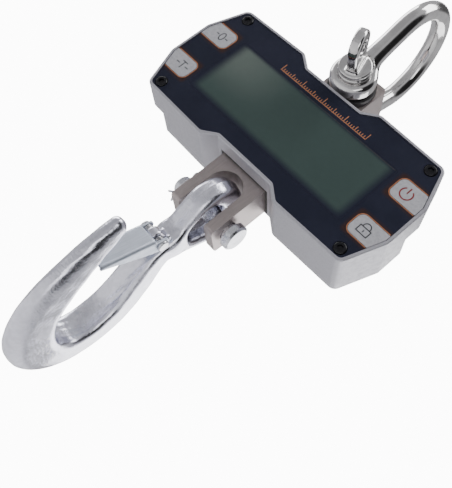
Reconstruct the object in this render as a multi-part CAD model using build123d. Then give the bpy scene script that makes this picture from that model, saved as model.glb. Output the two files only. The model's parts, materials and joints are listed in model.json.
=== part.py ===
from build123d import *
import math
import os

# Crane scale, hanging as it is used. Millimetres. +Z is up along the load axis, -Y is the display side.
# The origin is where a crane hook bears inside the shackle's crown.

# ---- Driving dimensions -------------------------------------------------------------------------
# Levels along the load axis
HOUSING_Z = -150.8            # centre of the housing
SHACKLE_PIN_Z = -89.8
CLEVIS_PIN_Z = -225.7

# Housing depth, from the display side to the back
RIM_Y = -29.4                 # front of the raised rim
FACIA_Y = -28.9               # front of the facia
FACIA_T = 2.0
GASKET_T = 0.8
LEDGE_T = 2.6
RELIEF_Y = -5.4               # where the two rear corner reliefs begin
BACK_Y = 16.0
COVER_T = 1.6
COVER_SEAL_T = 0.4
COVER_HEAD_T = 1.2            # height of the screw heads, flush in the rear cover
WALL = 2.8

# Facia outline: one quarter of it, the rest by symmetry
CORNER_X, CORNER_Z = 93.0, 46.0
END_X, END_Z = 103.5, 16.6
NOTCH_OUT_X, NOTCH_OUT_Z = 37.4, 47.3
NOTCH_IN_X, NOTCH_IN_Z = 26.4, 39.6
OUTLINE_R = 4.0
RIM_W = 2.3
LEDGE_W = 5.0
RELIEF_X = 84.0               # the reliefs leave the rear of the housing this long at their corners
RELIEF_Z = 4.3
SCREW_X, SCREW_Z = 88.0, 40.7

# Display and keys
WINDOW_X0, WINDOW_X1 = -74.0, 74.0
WINDOW_Z0, WINDOW_Z1 = -28.0, 25.5
KEY_IN_X = 80.0
KEY_H = 16.2
KEY_Z_HIGH, KEY_Z_LOW = 17.0, -20.6
KEY_R = 4.5
KEY_T = 1.2
KEY_PROUD = 0.2
KEY_GAP = 0.2
KEY_TRAVEL = 0.4
STEM_X = 88.0
BOARD_Y = -18.5               # front face of the main board
BOARD_T = 1.6
SWITCH_H = 3.4
PLUNGER_TOP_Y = -23.1

# Load cell
CELL_T = 27.8
LUG_W = 37.4
LUG_TOP_Z = -72.7
CLEVIS_W = 42.2
CLEVIS_END_Z = -239.6
SLOT_W = 25.6
SLOT_TOP_Z = -197.4

# Shackle
BOW_D = 14.0
BOW_R = 40.0                  # radius of the bow's centre line
EAR_Y = 25.7
EAR_T = 13.4
EAR_R = 17.0
SHACKLE_PIN_D = 16.0
COLLAR_R = 11.8
COLLAR_T = 6.5
PIN_EYE_R = 11.5
PIN_EYE_T = 7.6
PIN_EYE_ANGLE = 110.0         # of the flat eye about the pin, from +X
SPACER_R = 17.6

# Hook, measured down the load axis from the clevis pin (a) and towards the display side (b)
CLEVIS_PIN_D = 14.0
EYE_R = 26.4                  # round the clevis pin
EYE_T = 17.6
LATCH_A, LATCH_B = 43.5, 20.5
LATCH_ANGLE = 24.5
LATCH_L = 48.0
LATCH_W = 17.6
SHEET = 1.5
RIVET_R = 2.5

RUN = 0.06                    # radial clearance of a running fit
GAP = 0.15                    # between pieces that only lie against each other

os.makedirs("parts", exist_ok=True)


def save(name, shape):
    """Write one node."""
    export_step(shape if isinstance(shape, Compound) else Compound([shape]), f"parts/{name}.step")


def group(pieces):
    """Several separate solids of one node."""
    return Compound([solid for piece in pieces for solid in piece.solids()])


def slab(sketch, y_front, y_back):
    """A sketch drawn on X and Z, filled from one depth to another."""
    return extrude(Plane.XZ.offset(-y_back) * sketch, amount=y_back - y_front)


def post(x, z, r, y_front, y_back):
    return slab(Pos(x, z) * Circle(r), y_front, y_back)


def bar_x(y, z, r, x0, x1):
    return extrude(Plane.YZ.offset(x0) * Pos(y, z) * Circle(r), amount=x1 - x0)


def box(x0, x1, y0, y1, z0, z1):
    return Pos((x0 + x1) / 2, (y0 + y1) / 2, (z0 + z1) / 2) * Box(x1 - x0, y1 - y0, z1 - z0)


def rect(x0, x1, z0, z1):
    return Pos((x0 + x1) / 2, (z0 + z1) / 2) * Rectangle(x1 - x0, z1 - z0)


def all_corners(x, z):
    return [(sx * x, HOUSING_Z + sz * z) for sx in (-1, 1) for sz in (-1, 1)]


# ---- Housing outline ----------------------------------------------------------------------------
def facia_outline():
    quarter = [(END_X, END_Z), (CORNER_X, CORNER_Z), (NOTCH_OUT_X, NOTCH_OUT_Z), (NOTCH_IN_X, NOTCH_IN_Z)]
    half = quarter + [(-x, z) for x, z in reversed(quarter)]
    points = half + [(-x, -z) for x, z in half]
    sketch = make_face(Polyline(*points, close=True))
    return Pos(0, HOUSING_Z) * fillet(sketch.vertices(), OUTLINE_R)


FACIA = facia_outline()
OUTER = offset(FACIA, amount=RIM_W)


def rear_outline():
    """The outer outline less the two corner reliefs, which lie diagonally opposite."""
    far = 130.0
    relief = rect(RELIEF_X, far, HOUSING_Z + RELIEF_Z, HOUSING_Z + far)
    relief += rect(-far, -RELIEF_X, HOUSING_Z - far, HOUSING_Z - RELIEF_Z)
    cut = OUTER - relief
    inner = [v for v in cut.vertices() if abs(abs(v.X) - RELIEF_X) < 0.1]
    return fillet(inner, 3.0)


REAR = rear_outline()
LEDGE_Y = FACIA_Y + FACIA_T + GASKET_T
SEAT_Y = BACK_Y - COVER_T - COVER_SEAL_T     # floor of the rear rebate
COVER_Y = BACK_Y - COVER_T
STANDOFFS = all_corners(70.0, 40.0)
COVER_SCREWS = [(x, HOUSING_Z + z) for x, z in ((-76, 41), (76, 36), (-76, -36), (76, -41))]
CELL_Y = CELL_T / 2
CELL_SCREWS = [(0, HOUSING_Z + 24.0), (0, HOUSING_Z - 24.0)]
JACK_Y, JACK_Z = 4.5, HOUSING_Z - 25.0


def housing_casting():
    body = slab(OUTER, RIM_Y, RELIEF_Y)
    body = fillet(body.faces().sort_by(Axis.Y)[0].edges(), 1.0)
    body += slab(REAR, RELIEF_Y, BACK_Y)
    cavity_front = LEDGE_Y + LEDGE_T
    body -= slab(offset(FACIA, amount=0.1), RIM_Y - 1, LEDGE_Y)
    body -= slab(offset(FACIA, amount=-LEDGE_W), LEDGE_Y - 1, cavity_front + 1)
    body -= slab(offset(OUTER, amount=-WALL), cavity_front, RELIEF_Y - WALL)
    body -= slab(offset(REAR, amount=-WALL), cavity_front, BACK_Y + 1)
    body -= slab(offset(REAR, amount=-1.4), SEAT_Y, BACK_Y + 1)
    inside = slab(OUTER, LEDGE_Y, SEAT_Y)
    for x, z in all_corners(SCREW_X, SCREW_Z):
        body += post(x, z, 5.5, LEDGE_Y, LEDGE_Y + 13.0) & inside
        body -= post(x, z, 1.7, LEDGE_Y - 1, LEDGE_Y + 10.0)
    for x, z in STANDOFFS:
        body += post(x, z, 4.0, cavity_front, BOARD_Y)
        body -= post(x, z, 1.3, BOARD_Y - 5.0, BOARD_Y + 1)
    for x, z in COVER_SCREWS:
        body += post(x, z, 4.2, 2.0, SEAT_Y) & slab(REAR, 0.0, SEAT_Y)
        wall_z = HOUSING_Z + math.copysign(46.5, z - HOUSING_Z)
        web = box(x - 1.5, x + 1.5, 2.0, SEAT_Y, min(z, wall_z), max(z, wall_z))
        body += web & slab(REAR, 0.0, SEAT_Y)
        body -= post(x, z, 1.3, 4.0, SEAT_Y + 1)
    for width, side in ((LUG_W, 1), (CLEVIS_W, -1)):
        half = width / 2 + 2.2
        z0, z1 = sorted((HOUSING_Z + side * 30, HOUSING_Z + side * 60))
        body -= box(-half, half, -CELL_Y - 2.2, BACK_Y + 1, z0, z1)
    body -= bar_x(JACK_Y, JACK_Z, 5.1, -RELIEF_X - 5, -RELIEF_X + WALL + 2)
    return body


def cover_outline():
    return offset(REAR, amount=-1.5)


def rear_cover():
    plate = slab(cover_outline(), COVER_Y, BACK_Y)
    # The ends reach out over both apertures, up to the housing's outer wall.
    for width, side in ((LUG_W, 1), (CLEVIS_W, -1)):
        half = width / 2 + 2.1
        z0, z1 = sorted((HOUSING_Z + side * 36, HOUSING_Z + side * (NOTCH_IN_Z + RIM_W)))
        plate += box(-half, half, COVER_Y, BACK_Y, z0, z1)
    for x, z in COVER_SCREWS + CELL_SCREWS:
        plate -= post(x, z, 2.0, COVER_Y - 1, BACK_Y + 1)
        plate -= post(x, z, 3.6, BACK_Y - COVER_HEAD_T, BACK_Y + 1)
    return plate


def rear_cover_gasket():
    """Thin band on the floor of the rear rebate, interrupted where the load cell passes."""
    band = slab(offset(REAR, amount=-1.6) - offset(REAR, amount=-WALL + 0.1), SEAT_Y, COVER_Y)
    for width, side in ((LUG_W, 1), (CLEVIS_W, -1)):
        half = width / 2 + 2.2
        z0, z1 = sorted((HOUSING_Z + side * 30, HOUSING_Z + side * 60))
        band -= box(-half, half, SEAT_Y - 1, COVER_Y + 1, z0, z1)
    return group([band])


def pan_screw(x, z, shank_r, head_r, head_t, head_y, length, toward):
    """A round head screw along Y. toward is +1 when it is driven towards +Y."""
    y0, y1 = sorted((head_y, head_y - toward * head_t))
    head = post(x, z, head_r, y0, y1)
    head = fillet(head.faces().sort_by(Axis.Y)[0 if toward > 0 else -1].edges(), head_t * 0.45)
    s0, s1 = sorted((head_y, head_y + toward * length))
    screw = head + post(x, z, shank_r, s0, s1)
    r0, r1 = sorted((head_y - toward * (head_t + 1), head_y - toward * head_t * 0.35))
    return screw - slab(Pos(x, z) * RegularPolygon(head_r * 0.55, 6), r0, r1)


def frame_ring(grow_out, grow_in, y_front, y_back, screws, pad_r, hole_r):
    """A band that follows the facia's edge, with pads round the screws."""
    band = offset(FACIA, amount=grow_out) - offset(FACIA, amount=grow_in)
    ring = slab(band, y_front, y_back)
    limit = slab(offset(FACIA, amount=grow_out), y_front, y_back)
    for x, z in screws:
        ring += post(x, z, pad_r, y_front, y_back) & limit
        ring -= post(x, z, hole_r, y_front - 1, y_back + 1)
    return ring


# ---- Keys ---------------------------------------------------------------------------------------
KEYS = {
    "zero": (-1, KEY_Z_HIGH),
    "tare": (-1, KEY_Z_LOW),
    "power": (1, KEY_Z_HIGH),
    "lock": (1, KEY_Z_LOW),
}


def key_outline(side, z, grow):
    """A key: rounded towards the display, and cut off by the facia's own edge."""
    x0, x1 = KEY_IN_X - grow, END_X + 30
    half = KEY_H / 2 + grow
    shape = rect(x0, x1, HOUSING_Z + z - half, HOUSING_Z + z + half)
    inner = [v for v in shape.vertices() if v.X < END_X]
    shape = fillet(inner, KEY_R + grow)
    if side < 0:
        shape = mirror(shape, about=Plane.YZ)
    return shape & offset(FACIA, amount=-0.4 + grow * 3)


def key(side, z):
    top = FACIA_Y - KEY_PROUD
    plate = slab(key_outline(side, z, 0), top, top + KEY_T)
    return plate + post(side * STEM_X, HOUSING_Z + z, 2.2, top + KEY_T / 2, PLUNGER_TOP_Y)


def facia_panel():
    panel = slab(FACIA, FACIA_Y, FACIA_Y + FACIA_T)
    window = rect(WINDOW_X0, WINDOW_X1, HOUSING_Z + WINDOW_Z0, HOUSING_Z + WINDOW_Z1)
    panel -= slab(fillet(window.vertices(), 2.0), FACIA_Y - 1, FACIA_Y + FACIA_T + 1)
    for side, z in KEYS.values():
        panel -= slab(key_outline(side, z, KEY_GAP), FACIA_Y - 1, FACIA_Y + FACIA_T + 1)
    for x, z in all_corners(SCREW_X, SCREW_Z):
        panel -= post(x, z, 2.2, FACIA_Y - 1, FACIA_Y + FACIA_T + 1)
        panel -= post(x, z, 4.7, FACIA_Y - 1, FACIA_Y + 1.1)
    return panel


def display_window():
    g = 0.1
    pane = rect(WINDOW_X0 + g, WINDOW_X1 - g, HOUSING_Z + WINDOW_Z0 + g, HOUSING_Z + WINDOW_Z1 - g)
    return slab(fillet(pane.vertices(), 2.0 - g), FACIA_Y, FACIA_Y + FACIA_T)


# ---- Electronics --------------------------------------------------------------------------------
LCD_X = 75.0
LCD_Z0, LCD_Z1 = -30.0, 28.0
LCD_Y = -26.0


def lcd_rect(grow):
    return rect(-LCD_X - grow, LCD_X + grow, HOUSING_Z + LCD_Z0 - grow, HOUSING_Z + LCD_Z1 + grow)


def main_board():
    shape = rect(-80, 80, HOUSING_Z - 43.5, HOUSING_Z + 43.5)
    shape += rect(-92, 92, HOUSING_Z - 31, HOUSING_Z + 31)
    for side in (-1, 1):
        z0, z1 = sorted((HOUSING_Z + side * 34, HOUSING_Z + side * 60))
        shape -= rect(-42, 42, z0, z1)
    board = slab(shape, BOARD_Y, BOARD_Y + BOARD_T)
    for x, z in STANDOFFS:
        board -= post(x, z, 1.7, BOARD_Y - 1, BOARD_Y + BOARD_T + 1)
    return board


def tact_switches():
    bodies = []
    for side, z in KEYS.values():
        x, zc = side * STEM_X, HOUSING_Z + z
        body = box(x - 3, x + 3, BOARD_Y - SWITCH_H, BOARD_Y, zc - 3, zc + 3)
        bodies.append(body - post(x, zc, 1.75 + RUN, BOARD_Y - SWITCH_H - 1, BOARD_Y - 1.0))
    return group(bodies)


def board_components():
    """Controller, converter, memory, oscillator and plugs on the back of the board."""
    back = BOARD_Y + BOARD_T
    chips = [(-50, 12, 14, 14, 1.6), (-22, -20, 10, 7, 1.5), (-50, -14, 8, 6, 1.4), (20, 22, 11, 4.5, 2.4),
             (56, 24, 12, 6, 2.2), (-66, -26, 10, 6, 2.4), (66, -24, 9, 9, 1.6)]
    parts = [box(x - w / 2, x + w / 2, back, back + t, HOUSING_Z + z - h / 2, HOUSING_Z + z + h / 2)
             for x, z, w, h, t in chips]
    return group(parts)


def battery_bracket():
    x0, x1, z0, z1 = 30.5, 78.5, HOUSING_Z - 30.5, HOUSING_Z + 30.5
    tray = box(x0, x1, -13.4, 8.0, z0, z1)
    tray -= box(x0 + 1.2, x1 - 1.2, -12.2, 9.0, z0 + 1.2, z1 - 1.2)
    return tray


# ---- Load cell ----------------------------------------------------------------------------------
def load_cell():
    lug = rect(-LUG_W / 2, LUG_W / 2, HOUSING_Z + 20, LUG_TOP_Z)
    lug = fillet([v for v in lug.vertices() if v.Y > LUG_TOP_Z - 1], 3.5)
    waist = rect(-16, 16, HOUSING_Z - 22, HOUSING_Z + 22)
    foot = rect(-CLEVIS_W / 2, CLEVIS_W / 2, CLEVIS_END_Z, HOUSING_Z - 20)
    slot = rect(-SLOT_W / 2, SLOT_W / 2, CLEVIS_END_Z - 5, SLOT_TOP_Z - SLOT_W / 2)
    slot += Pos(0, SLOT_TOP_Z - SLOT_W / 2) * Circle(SLOT_W / 2)
    shape = lug + waist + foot - slot
    body = slab(shape, -CELL_Y, CELL_Y)
    ends = body.faces().filter_by(Axis.Z).sort_by(Axis.Z)
    tips = [e for face in ends[:2] for e in face.edges().filter_by(Axis.X)]
    body = fillet(tips, 3.0)
    body -= post(0, SHACKLE_PIN_Z, SHACKLE_PIN_D / 2 + 0.09, -CELL_Y - 1, CELL_Y + 1)
    body -= bar_x(0, CLEVIS_PIN_Z, CLEVIS_PIN_D / 2 + RUN, -CLEVIS_W, CLEVIS_W)
    body -= post(0, HOUSING_Z, 9.0, -CELL_Y - 1, CELL_Y + 1)
    for x, z in CELL_SCREWS:
        body -= post(x, z, 1.7, CELL_Y - 9, CELL_Y + 1)
    return body


def seal(width, side):
    """Rubber frame that closes the gap between the load cell and the wall that it passes through."""
    half = width / 2
    wall = HOUSING_Z + side * (NOTCH_IN_Z + RIM_W)
    z0, z1 = sorted((wall - side * 0.3, wall - side * (WALL + 0.3)))
    ring = box(-half - 2.0, half + 2.0, -CELL_Y - 2.0, CELL_Y, z0, z1)
    return ring - box(-half - 0.1, half + 0.1, -CELL_Y - 0.1, CELL_Y + 1, z0 - 1, z1 + 1)


def strain_gauges():
    pads = [box(sx * 16.1 - 0.1, sx * 16.1 + 0.1, -5, 5, HOUSING_Z + z - 4, HOUSING_Z + z + 4)
            for sx in (-1, 1) for z in (-8, 8)]
    return group(pads)


def gauge_wires():
    """The gauges' four-core lead, from the waist up to the board's plug."""
    y_board = BOARD_Y + BOARD_T + 0.1
    points = [(-17.0, 0, HOUSING_Z - 14), (-22, 0, HOUSING_Z - 18), (-22, y_board + 0.9, HOUSING_Z - 30),
              (-34, y_board + 0.9, HOUSING_Z - 30)]
    path = FilletPolyline(*points, radius=2.0)
    return sweep(Plane(origin=path @ 0, z_dir=path % 0) * Circle(0.8), path=path)


# ---- Shackle ------------------------------------------------------------------------------------
def bow_path():
    """Crown arc, and the two straight legs that are tangent to it and end in the ears."""
    centre_z = BOW_D / 2 - BOW_R
    dy, dz = EAR_Y, SHACKLE_PIN_Z - centre_z
    tangent = math.degrees(math.atan2(dz, dy) + math.acos(BOW_R / math.hypot(dy, dz)))
    arc = Plane.YZ * Pos(0, centre_z) * CenterArc((0, 0), BOW_R, tangent, 180 - 2 * tangent)
    start, end = arc @ 0, arc @ 1
    leg_a = Line((0, EAR_Y, SHACKLE_PIN_Z), start)
    leg_b = Line(end, (0, -EAR_Y, SHACKLE_PIN_Z))
    return Wire([leg_a.edge(), arc.edge(), leg_b.edge()])


def shackle_bow():
    path = bow_path()
    bow = sweep(Plane(origin=path @ 0, z_dir=path % 0) * Circle(BOW_D / 2), path=path)
    for side in (-1, 1):
        y0, y1 = sorted((side * (EAR_Y - EAR_T / 2), side * (EAR_Y + EAR_T / 2)))
        ear = post(0, SHACKLE_PIN_Z, EAR_R, y0, y1)
        bow += fillet(ear.edges().filter_by(GeomType.CIRCLE), 3.5)
    # The legs end flush with the inner faces of the ears.
    bow -= box(-20, 20, -EAR_Y + EAR_T / 2, EAR_Y - EAR_T / 2, SHACKLE_PIN_Z - 30, SHACKLE_PIN_Z + EAR_R)
    # The ears are faced off flat, as wide as the pin's collar needs.
    for y0, y1 in ((-60, -EAR_Y - EAR_T / 2), (EAR_Y + EAR_T / 2, 60)):
        bow -= post(0, SHACKLE_PIN_Z, COLLAR_R + 0.5, y0, y1)
    bow -= post(0, SHACKLE_PIN_Z, SHACKLE_PIN_D / 2 + RUN, -60, 60)
    return bow


def shackle_pin():
    ear_front = -EAR_Y - EAR_T / 2
    collar_front = ear_front - COLLAR_T
    shank = post(0, SHACKLE_PIN_Z, SHACKLE_PIN_D / 2, ear_front - 1, EAR_Y + EAR_T / 2 + 1.0)
    collar = post(0, SHACKLE_PIN_Z, COLLAR_R, collar_front, ear_front - 0.05)
    collar = fillet(collar.faces().sort_by(Axis.Y)[0].edges(), 1.2)
    collar -= (post(0, SHACKLE_PIN_Z, COLLAR_R + 1, collar_front + 3.2, collar_front + 4.2)
               - post(0, SHACKLE_PIN_Z, COLLAR_R - 0.8, collar_front + 3.2, collar_front + 4.2))
    eye_y = collar_front - 19.0
    # The flat eye lies in the plane of the pin and a line across it.
    root_y, root_r = collar_front + 2.0, 8.0
    lean = math.asin((PIN_EYE_R - root_r) / (root_y - eye_y))
    ends = ((1, PIN_EYE_R, eye_y), (1, root_r, root_y), (-1, root_r, root_y), (-1, PIN_EYE_R, eye_y))
    sides = [(side * r * math.cos(lean), y + r * math.sin(lean)) for side, r, y in ends]
    flat = Pos(0, eye_y) * Circle(PIN_EYE_R) + make_face(Polyline(*sides, close=True))
    blade = extrude(flat, amount=PIN_EYE_T / 2, both=True)
    blade = fillet(blade.edges().filter_by(Plane.XY), 2.4)
    blade -= extrude(Pos(0, eye_y) * Circle(5.0), amount=PIN_EYE_T, both=True)
    blade = Pos(0, 0, SHACKLE_PIN_Z) * Rot(0, -PIN_EYE_ANGLE, 0) * blade
    return shank + collar + blade


def shackle_spacers():
    rings = []
    for side in (-1, 1):
        y0, y1 = sorted((side * (CELL_Y + GAP), side * (EAR_Y - EAR_T / 2 - 0.05)))
        rings.append(post(0, SHACKLE_PIN_Z, SPACER_R, y0, y1)
                     - post(0, SHACKLE_PIN_Z, SHACKLE_PIN_D / 2 + RUN, y0 - 1, y1 + 1))
    return group(rings)


# ---- Clevis pin ---------------------------------------------------------------------------------
HEAD_X0, HEAD_X1 = 24.2, 30.0
SPLIT_X = -27.0


def clevis_pin():
    r = CLEVIS_PIN_D / 2
    pin = bar_x(0, CLEVIS_PIN_Z, r, -30.0, HEAD_X0 + 1)
    pin = chamfer(pin.faces().sort_by(Axis.X)[0].edges(), 1.5)
    head = bar_x(0, CLEVIS_PIN_Z, 10.0, HEAD_X0, HEAD_X1)
    head = chamfer(head.faces().sort_by(Axis.X)[-1].edges(), 1.4)
    pin += head
    return pin - Pos(SPLIT_X, 0, CLEVIS_PIN_Z) * Cylinder(1.9, 40)


def clevis_washer():
    x1 = -CLEVIS_W / 2 - GAP
    ring = bar_x(0, CLEVIS_PIN_Z, 11.0, x1 - 2.2, x1)
    return ring - bar_x(0, CLEVIS_PIN_Z, CLEVIS_PIN_D / 2 + RUN, x1 - 4, x1 + 1)


def split_pin():
    """Loop above the pin, two half-round legs through it and turned apart below."""
    top, low = CLEVIS_PIN_Z + 8.2, CLEVIS_PIN_Z - 8.4
    legs = Pos(SPLIT_X, 0, CLEVIS_PIN_Z) * Cylinder(1.7, top - low)
    loop = Pos(SPLIT_X, 0, top + 2.4) * Rot(0, 90, 0) * Torus(3.0, 1.0)
    pin = legs + loop
    for side in (-1, 1):
        pin += Pos(SPLIT_X, 0, low) * Rot(side * 55, 0, 0) * Pos(0, 0, -4.0) * Cylinder(1.1, 8.0)
    return pin


# ---- Hook ---------------------------------------------------------------------------------------
def hook_yz(a, b):
    """From the hook's own measures to Y and Z."""
    return (-b, CLEVIS_PIN_Z - a)


# Stations of the hook's body, from the neck round the bowl to the tip: the middle of the section
# (a, b), half its depth, and half its width on the bowl's side and on the outside
HOOK_LINE = [
    (33, 2.5, 9.6, 8.8, 8.6),
    (50, -1, 10.8, 9.6, 8.8),
    (66, -12, 13.2, 11.0, 8.6),
    (88, -25, 14.6, 12.3, 8.2),
    (112, -28, 15.2, 12.8, 8.0),
    (132.5, -20, 15.2, 13.0, 8.2),
    (144, -3, 15.4, 13.0, 8.2),
    (143.5, 16, 15.4, 12.6, 7.6),
    (133, 33.5, 13.6, 11.8, 6.8),
    (116, 45, 11.8, 10.8, 6.2),
    (98, 52, 9.9, 9.6, 5.9),
    (84.5, 56.4, 8.3, 8.4, 5.6),
    (72, 59.2, 7.2, 7.0, 5.3),
    (63, 61, 5.8, 5.8, 4.9),
]


def teardrop(a1, r1, a2, r2):
    """Two circles on the load axis and their common tangents."""
    lean = math.asin((r1 - r2) / (a2 - a1))
    y1, z1 = r1 * math.cos(lean), r1 * math.sin(lean)
    y2, z2 = r2 * math.cos(lean), r2 * math.sin(lean)
    top, low = CLEVIS_PIN_Z - a1, CLEVIS_PIN_Z - a2
    shape = Pos(0, top) * Circle(r1) + Pos(0, low) * Circle(r2)
    sides = [(y1, top - z1), (y2, low - z2), (-y2, low - z2), (-y1, top - z1)]
    return shape + make_face(Polyline(*sides, close=True))


def hook():
    eye = extrude(Plane.YZ * teardrop(0, EYE_R, 25.0, 14.5), amount=EYE_T / 2, both=True)
    eye = fillet(eye.edges().filter_by(Plane.YZ), 6.0)
    hole = extrude(Plane.YZ * teardrop(6.2, 13.5, 13.5, 10.0), amount=EYE_T, both=True)
    sections = []
    for i, (a, b, depth, inside, outside) in enumerate(HOOK_LINE):
        before = HOOK_LINE[max(i - 1, 0)]
        after = HOOK_LINE[min(i + 1, len(HOOK_LINE) - 1)]
        y0, z0 = hook_yz(before[0], before[1])
        y1, z1 = hook_yz(after[0], after[1])
        y, z = hook_yz(a, b)
        plane = Plane(origin=(0, y, z), x_dir=(1, 0, 0), z_dir=(0, y1 - y0, z1 - z0))
        corners = [(-outside, -depth), (outside, -depth), (inside, depth), (-inside, depth)]
        section = make_face(Polyline(*corners, close=True))
        sections.append(plane * fillet(section.vertices(), outside * 0.6))
    body = loft(sections)
    for a, b, depth, inside, outside in (HOOK_LINE[0], HOOK_LINE[-1]):
        y, z = hook_yz(a, b)
        body += Pos(0, y, z) * Sphere(min(depth, inside))
    # Shoulder that carries the latch, narrow enough for the latch's sides and spring.
    py, pz = hook_yz(LATCH_A, LATCH_B)
    ny, nz = hook_yz(27.0, 6.0)
    my, mz = hook_yz(47.0, 4.0)
    web = [(ny, nz), (py - 5.4, pz + 2.4), (py, pz - 6.0), (my, mz)]
    shoulder = Plane.YZ * (make_face(Polyline(*web, close=True)) + Pos(py, pz) * Circle(6.0))
    result = eye + body - hole
    result += extrude(shoulder, amount=3.6, both=True)
    return result - bar_x(py, pz, RIVET_R + RUN, -20, 20)


def latch_place(shape):
    """From the latch's own frame (X across, Y along it, Z outwards) to the hook."""
    y, z = hook_yz(LATCH_A, LATCH_B)
    t = math.radians(LATCH_ANGLE)
    along = (0, -math.sin(t), -math.cos(t))
    outwards = (0, -math.cos(t), math.sin(t))
    plane = Plane(origin=(0, y, z), x_dir=(-1, 0, 0), z_dir=outwards)
    assert abs(plane.y_dir.Y - along[1]) < 1e-6 and abs(plane.y_dir.Z - along[2]) < 1e-6
    return plane * shape


def latch():
    half = LATCH_W / 2
    top = 6.6
    plate = Pos(0, (7.0 + LATCH_L) / 2, top - SHEET / 2) * Box(LATCH_W, LATCH_L - 7.0, SHEET)
    side = Polyline((-4.5, 4.0), (2.0, top), (LATCH_L, top), (LATCH_L, top - 3.0), (14.0, -3.6), (3.0, -5.8),
                    (-3.5, -4.6), (-5.6, -1.0), close=True)
    profile = fillet(make_face(side).vertices(), 1.2)
    result = plate
    for s in (-1, 1):
        cheek = extrude(Plane.YZ.offset(s * (half - SHEET / 2)) * profile, amount=SHEET / 2, both=True)
        result += cheek
    result -= Rot(0, 90, 0) * Cylinder(RIVET_R + RUN, 40)
    return latch_place(result)


def latch_rivet():
    y, z = hook_yz(LATCH_A, LATCH_B)
    half = LATCH_W / 2
    rivet = bar_x(y, z, RIVET_R, -half - 1.0, half + 1.0)
    for s in (-1, 1):
        x0, x1 = sorted((s * (half + GAP), s * (half + 2.0)))
        head = bar_x(y, z, 4.2, x0, x1)
        rivet += fillet(head.faces().sort_by(Axis.X)[-1 if s > 0 else 0].edges(), 1.2)
    return rivet


def latch_spring():
    """The two coils of the double torsion spring, one each side of the hook's shoulder."""
    y, z = hook_yz(LATCH_A, LATCH_B)
    coils = []
    for s in (-1, 1):
        x0, x1 = sorted((s * 3.9, s * 6.9))
        coils.append(bar_x(y, z, 4.4, x0, x1) - bar_x(y, z, 3.1, x0 - 1, x1 + 1))
    return group(coils)


# ---- Write every node ---------------------------------------------------------------------------
def main():
    save("housing_casting", housing_casting())
    save("rear_cover", rear_cover())
    save("rear_cover_gasket", rear_cover_gasket())
    save("rear_cover_screws", group([pan_screw(x, z, 1.3, 3.3, COVER_HEAD_T, BACK_Y - COVER_HEAD_T, 9.0, -1)
                                     for x, z in COVER_SCREWS]))
    save("facia_panel", facia_panel())
    save("display_window", display_window())
    save("facia_gasket", frame_ring(-0.2, -LEDGE_W + 0.3, FACIA_Y + FACIA_T, LEDGE_Y,
                                    all_corners(SCREW_X, SCREW_Z), 5.4, 2.2))
    save("facia_screws", group([pan_screw(x, z, 1.7, 4.2, 1.9, FACIA_Y + 1.1, 9.0, 1)
                                for x, z in all_corners(SCREW_X, SCREW_Z)]))
    for name, (side, z) in KEYS.items():
        save(f"key_{name}", key(side, z))
        save(f"plunger_{name}", post(side * STEM_X, HOUSING_Z + z, 1.75, PLUNGER_TOP_Y, BOARD_Y - 1.6))
    save("tact_switches", tact_switches())
    save("lcd_glass", slab(lcd_rect(0), LCD_Y, LCD_Y + 2.8))
    save("backlight", slab(lcd_rect(-1), LCD_Y + 2.9, LCD_Y + 5.9))
    lcd_frame = slab(lcd_rect(2.2) - lcd_rect(0.2), LCD_Y, BOARD_Y)
    save("lcd_frame", lcd_frame)
    save("main_board", main_board())
    save("board_components", board_components())
    save("board_screws", group([pan_screw(x, z, 1.3, 2.9, 1.8, BOARD_Y + BOARD_T, 5.5, -1)
                               for x, z in STANDOFFS]))
    save("buzzer", post(-64, HOUSING_Z + 24, 6.0, BOARD_Y + BOARD_T, BOARD_Y + BOARD_T + 7.5))
    save("radio_module", group([box(-46, -28, BOARD_Y + BOARD_T + 2.5, BOARD_Y + BOARD_T + 3.5,
                                    HOUSING_Z + 20, HOUSING_Z + 32)]))
    save("battery_pack", box(32.0, 77.0, -12.0, 12.4, HOUSING_Z - 29.0, HOUSING_Z + 29.0))
    save("battery_bracket", battery_bracket())
    jack = bar_x(JACK_Y, JACK_Z, 5.0, -RELIEF_X - 4.5, -RELIEF_X + 14.0)
    jack += bar_x(JACK_Y, JACK_Z, 6.8, -RELIEF_X + WALL + 0.1, -RELIEF_X + WALL + 2.0)
    jack -= bar_x(JACK_Y, JACK_Z, 2.8, -RELIEF_X - 6, -RELIEF_X + 8.0)
    jack += bar_x(JACK_Y, JACK_Z, 1.0, -RELIEF_X - 3.0, -RELIEF_X + 9.0)
    save("charging_jack", jack)
    nut = extrude(Plane.YZ.offset(-RELIEF_X - 2.6) * Pos(JACK_Y, JACK_Z) * RegularPolygon(7.4, 6), amount=2.5)
    save("charging_jack_nut", nut - bar_x(JACK_Y, JACK_Z, 5.05, -RELIEF_X - 5, -RELIEF_X + 1))
    save("load_cell", load_cell())
    save("strain_gauges", strain_gauges())
    save("gauge_wires", gauge_wires())
    save("load_cell_screws", group([pan_screw(x, z, 1.7, 3.3, COVER_HEAD_T, BACK_Y - COVER_HEAD_T, 9.0, -1)
                                     for x, z in CELL_SCREWS]))
    save("top_seal", seal(LUG_W, 1))
    save("bottom_seal", seal(CLEVIS_W, -1))
    save("shackle_bow", shackle_bow())
    save("shackle_pin", shackle_pin())
    save("shackle_spacers", shackle_spacers())
    save("clevis_pin", clevis_pin())
    save("clevis_washer", clevis_washer())
    save("split_pin", split_pin())
    save("hook", hook())
    save("latch", latch())
    save("latch_rivet", latch_rivet())
    save("latch_spring", latch_spring())


main()
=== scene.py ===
import json
import math

import bmesh
import bpy
import numpy as np
from mathutils import Matrix, Vector


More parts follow.
